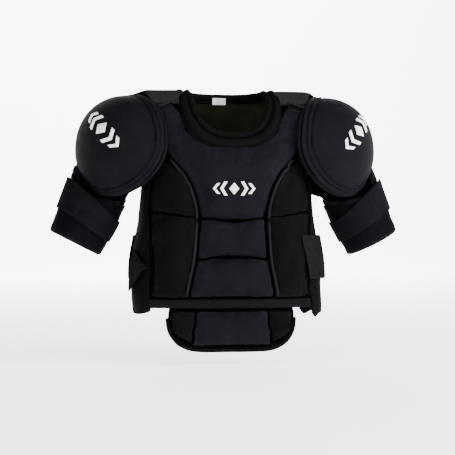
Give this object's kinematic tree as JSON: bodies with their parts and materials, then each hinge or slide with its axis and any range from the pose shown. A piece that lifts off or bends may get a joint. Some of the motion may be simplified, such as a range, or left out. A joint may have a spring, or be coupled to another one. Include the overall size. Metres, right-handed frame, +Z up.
{
  "type": "hockey shoulder pads",
  "caption": "Padded upper-body protector with sewn chest sections, domed shoulder caps, strapped upper-arm guards and a belly flap.",
  "frame": {"origin": "midway between the wearer's shoulders, at the height of the base of the neck", "axes": "+Z up, -Y towards the front of the chest, +X towards the wearer's left"},
  "size_m": [0.778, 0.2682, 0.5791],
  "materials": {
    "shell_fabric": "tight woven black nylon over foam, soft sheen",
    "mesh": "open air mesh, matt",
    "lining": "brushed lining, matt",
    "binding": "folded edge binding, satin",
    "strap": "brushed loop elastic, matt",
    "plastic": "moulded polyethylene, satin",
    "foam": "laminated foam, matt",
    "mark": "white rubber print, satin",
    "label": "woven label, blank"
  },
  "bodies": {
    "torso": {"front_carrier": "shell_fabric", "front_lining": "lining", "back_carrier": "shell_fabric", "back_lining": "lining", "chest_pad": "shell_fabric", "mid_abdomen_pad": "shell_fabric", "lower_abdomen_pad": "shell_fabric", "upper_side_pad_left": "shell_fabric", "upper_side_pad_right": "shell_fabric", "lower_side_pad_left": "shell_fabric", "lower_side_pad_right": "shell_fabric", "spine_pad": "shell_fabric", "shoulder_blade_pad_left": "shell_fabric", "shoulder_blade_pad_right": "shell_fabric", "lower_back_pad_left": "shell_fabric", "lower_back_pad_right": "shell_fabric", "front_hem_binding": "binding", "back_hem_binding": "binding", "side_panel_left": "shell_fabric", "side_panel_right": "shell_fabric", "collar_inner_roll": "binding", "collar_outer_roll": "binding", "neck_label": "label", "shoulder_yoke_left": "mesh", "shoulder_yoke_right": "mesh", "shoulder_rest_left": "foam", "shoulder_rest_right": "foam", "side_strap_anchor_left": "strap", "side_strap_anchor_right": "strap", "chest_badge": "mark"},
    "cap_left": {"cap_cover_left": "shell_fabric", "cap_shell_left": "plastic", "cap_liner_left": "foam", "cap_binding_left": "binding", "cap_badge_left": "mark"},
    "arm_guard_left": {"arm_cover_left": "shell_fabric", "arm_shell_left": "plastic", "arm_liner_left": "foam", "arm_binding_left": "binding", "arm_hanger_left": "strap"},
    "arm_strap_left": {"arm_strap_left": "strap"},
    "side_strap_left": {"side_strap_left": "strap"},
    "cap_right": {"cap_cover_right": "shell_fabric", "cap_shell_right": "plastic", "cap_liner_right": "foam", "cap_binding_right": "binding", "cap_badge_right": "mark"},
    "arm_guard_right": {"arm_cover_right": "shell_fabric", "arm_shell_right": "plastic", "arm_liner_right": "foam", "arm_binding_right": "binding", "arm_hanger_right": "strap"},
    "arm_strap_right": {"arm_strap_right": "strap"},
    "side_strap_right": {"side_strap_right": "strap"},
    "belly_flap": {"belly_carrier": "shell_fabric", "belly_centre_pad": "shell_fabric", "belly_side_pad_left": "shell_fabric", "belly_side_pad_right": "shell_fabric", "belly_binding": "binding"}
  },
  "joints": [
    {"name": "cap_lift_left", "type": "hinge", "parent": "torso", "child": "cap_left", "pos_m": [0.1865, 0, 0.023], "axis": [0, -1, 0], "range_deg": [0, 40]},
    {"name": "arm_swing_left", "type": "hinge", "parent": "cap_left", "child": "arm_guard_left", "pos_m": [0.34697, -0.002, -0.15794], "axis": [0, -1, 0], "range_deg": [0, 30]},
    {"name": "arm_strap_peel_left", "type": "hinge", "parent": "arm_guard_left", "child": "arm_strap_left", "pos_m": [0.24768, 0.00417, -0.2774], "axis": [0.454, 0, -0.891], "range_deg": [0, 60]},
    {"name": "side_strap_peel_left", "type": "hinge", "parent": "torso", "child": "side_strap_left", "pos_m": [0.21498, -0.012, -0.34], "axis": [0, 0, 1], "range_deg": [0, 50]},
    {"name": "cap_lift_right", "type": "hinge", "parent": "torso", "child": "cap_right", "pos_m": [-0.1865, 0, 0.023], "axis": [0, 1, 0], "range_deg": [0, 40]},
    {"name": "arm_swing_right", "type": "hinge", "parent": "cap_right", "child": "arm_guard_right", "pos_m": [-0.34697, -0.002, -0.15794], "axis": [0, 1, 0], "range_deg": [0, 30]},
    {"name": "arm_strap_peel_right", "type": "hinge", "parent": "arm_guard_right", "child": "arm_strap_right", "pos_m": [-0.24768, 0.00417, -0.2774], "axis": [0.454, 0, 0.891], "range_deg": [0, 60]},
    {"name": "side_strap_peel_right", "type": "hinge", "parent": "torso", "child": "side_strap_right", "pos_m": [-0.21498, -0.012, -0.34], "axis": [0, 0, -1], "range_deg": [0, 50]},
    {"name": "belly_flap_swing", "type": "hinge", "parent": "torso", "child": "belly_flap", "pos_m": [0, -0.10684, -0.4545], "axis": [-1, 0, 0], "range_deg": [0, 40]}
  ]
}
